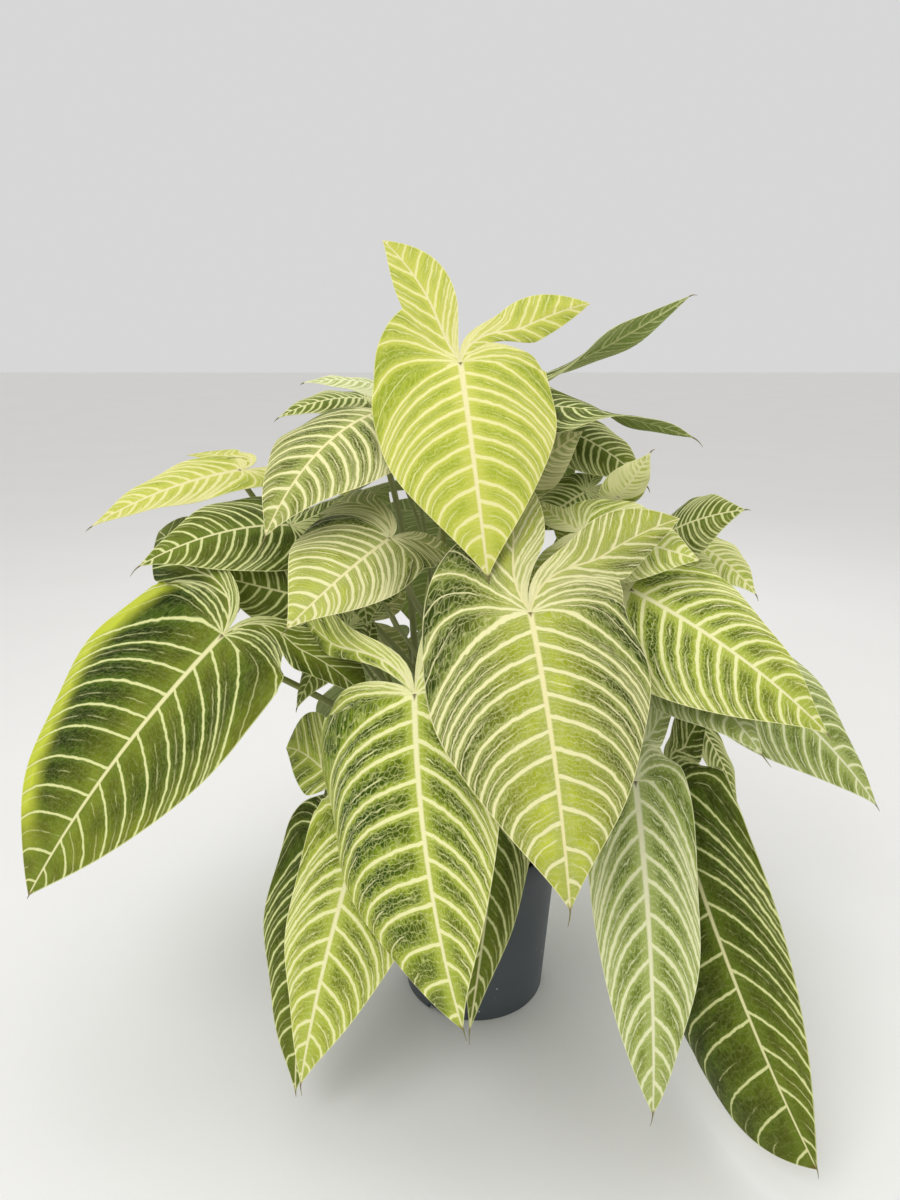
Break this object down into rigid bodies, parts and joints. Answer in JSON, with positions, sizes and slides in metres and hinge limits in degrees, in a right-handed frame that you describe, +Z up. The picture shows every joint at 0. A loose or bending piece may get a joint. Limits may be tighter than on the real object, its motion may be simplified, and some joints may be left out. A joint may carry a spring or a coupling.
{
  "type": "potted xanthosoma lindenii house plant",
  "caption": "Bushy aroid house plant with big arrow-shaped, pale-veined leaves on slender stalks, growing from soil in a plain tapered round nursery pot.",
  "frame": {"origin": "centre of the pot's foot, on the surface it stands on", "axes": "+Z up along the pot's axis; -Y towards the viewer of the picture; +X to the viewer's right"},
  "size_m": [0.9239, 0.685, 0.8941],
  "materials": {
    "pot": "matte",
    "soil": "matte",
    "leaf_lime": "satin",
    "leaf_grey": "satin",
    "leaf_vivid": "satin",
    "leaf_dark": "satin",
    "leaf_pale": "satin"
  },
  "bodies": {
    "root": {"pot": "pot", "soil": "soil", "leaf_crown": "leaf_lime", "leaf_centre": "leaf_grey", "leaf_left_big": "leaf_dark", "leaf_front_low": "leaf_vivid", "leaf_low_left": "leaf_vivid", "leaf_low_left_b": "leaf_dark", "leaf_right_pale": "leaf_pale", "leaf_right_dark": "leaf_dark", "leaf_right_mid": "leaf_grey", "leaf_right_mid_b": "leaf_pale", "leaf_right_far": "leaf_pale", "leaf_mid_left": "leaf_grey", "leaf_upper_left": "leaf_pale", "leaf_far_left": "leaf_lime", "leaf_top_twist": "leaf_dark", "leaf_top_fold": "leaf_dark", "leaf_top_grey": "leaf_grey", "leaf_top_dark": "leaf_dark", "leaf_top_bright": "leaf_vivid", "leaf_inner_bright": "leaf_vivid", "leaf_inner_dark": "leaf_dark", "leaf_side_dark": "leaf_dark", "leaf_side_bright": "leaf_vivid", "leaf_side_bright_b": "leaf_vivid", "leaf_left_dark": "leaf_dark", "leaf_left_thin": "leaf_pale", "leaf_behind_left": "leaf_dark", "leaf_mid_dark": "leaf_dark", "leaf_grey_left": "leaf_grey", "leaf_under_left": "leaf_dark", "leaf_hang_left": "leaf_dark", "leaf_hang_right": "leaf_dark", "leaf_right_tip": "leaf_dark", "leaf_back_crown": "leaf_lime", "leaf_back_mid": "leaf_grey", "leaf_back_right": "leaf_vivid", "leaf_back_far_left": "leaf_grey", "leaf_back_low_right": "leaf_dark", "leaf_back_low_left": "leaf_vivid", "leaf_low_front": "leaf_dark"}
  },
  "joints": []
}
